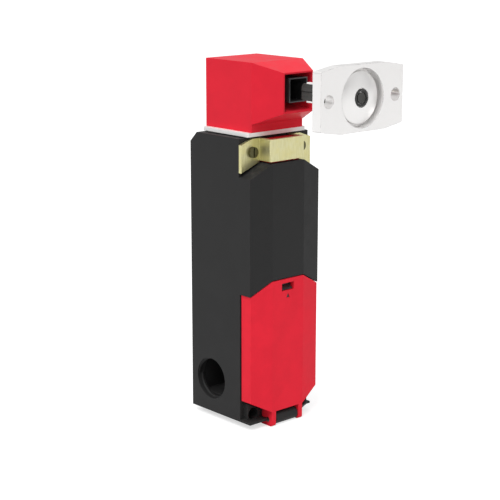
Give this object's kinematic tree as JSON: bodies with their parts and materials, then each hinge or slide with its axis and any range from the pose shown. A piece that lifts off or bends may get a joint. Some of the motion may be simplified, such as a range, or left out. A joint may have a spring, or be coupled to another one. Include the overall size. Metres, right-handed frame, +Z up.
{
  "type": "tongue interlock switch",
  "caption": "Tongue-operated safety interlock switch: narrow plastic body with hinged wiring lid, turnable red head, zinc bracket and separate white actuator.",
  "frame": {"origin": "on the back face of the body, midway between its two lower fixing holes", "axes": "+Y out of the back face that bolts to the guard, +X across the width, +Z up towards the head; the tongue goes in along +Y"},
  "size_m": [0.035, 0.0623, 0.1205],
  "materials": {
    "black_body": "fine moulded texture",
    "seal_rubber": "soft black cord",
    "steel": "ground pin",
    "zinc": "yellow passivated zinc plate",
    "red_shell": "smooth moulded",
    "white_plastic": "smooth moulded",
    "black_glossy": "smooth moulded",
    "cam_steel": "sintered steel",
    "block_plastic": "light grey thermoset",
    "contact_brass": "stamped strip",
    "carriage_plastic": "blue moulded",
    "tongue_steel": "dark blued steel"
  },
  "bodies": {
    "body": {"housing": "black_body", "lid_latch": "black_glossy", "lid_hinge_pin": "steel", "retaining_bracket": "zinc", "bracket_screws": "zinc", "head_retainer": "red_shell", "contact_case": "block_plastic", "front_contacts": "contact_brass", "rear_contacts": "contact_brass", "terminal_screws": "steel", "block_screws": "steel", "clamp_plates": "steel", "carriage_spring": "steel"},
    "wiring_lid": {"lid": "black_body", "lid_seal": "seal_rubber"},
    "head": {"head_shell": "red_shell", "head_base": "white_plastic", "head_screws": "steel", "entry_guide": "black_glossy", "cam_axle": "steel"},
    "cam_wheel": {"cam": "cam_steel"},
    "carriage": {"plunger": "white_plastic", "contact_carriage": "carriage_plastic", "contact_bridges": "contact_brass"},
    "actuator": {"tongue": "tongue_steel", "glide_pads": "white_plastic", "flex_spring": "steel"},
    "swivel": {"swivel_dome": "white_plastic"},
    "plate": {"actuator_plate": "white_plastic"}
  },
  "joints": [
    {"name": "lid_hinge", "type": "hinge", "parent": "body", "child": "wiring_lid", "pos_m": [0, -0.0285, -0.00235], "axis": [1, 0, 0], "range_deg": [0, 110]},
    {"name": "head_turn", "type": "hinge", "parent": "body", "child": "head", "pos_m": [0, -0.0143, 0.09], "axis": [0, 0, 1], "range_deg": [-180, 180]},
    {"name": "actuator_slide", "type": "slide", "parent": "head", "child": "actuator", "axis": [0, 1, 0], "range_m": [0, 0.0226]},
    {"name": "cam_turn", "type": "hinge", "parent": "head", "child": "cam_wheel", "pos_m": [0, -0.0143, 0.09755], "axis": [1, 0, 0], "range_deg": [-91, 0]},
    {"name": "plunger_slide", "type": "slide", "parent": "body", "child": "carriage", "axis": [0, 0, 1], "range_m": [0, 0.00225], "deforming": ["carriage_spring"]},
    {"name": "swivel_tilt", "type": "hinge", "parent": "actuator", "child": "swivel", "pos_m": [0, -0.0606, 0.10605], "axis": [1, 0, 0], "range_deg": [-4, 4], "stiffness_Nm_per_rad": 0.02},
    {"name": "plate_tilt", "type": "hinge", "parent": "swivel", "child": "plate", "pos_m": [0, -0.0606, 0.10605], "axis": [0, 0, 1], "range_deg": [-4, 4], "stiffness_Nm_per_rad": 0.02}
  ],
  "couplings": [
    {"joint": "cam_turn", "follows": "actuator_slide", "rad_per_m": -69.5},
    {"joint": "plunger_slide", "follows": "actuator_slide", "ratio": 0.0973}
  ]
}
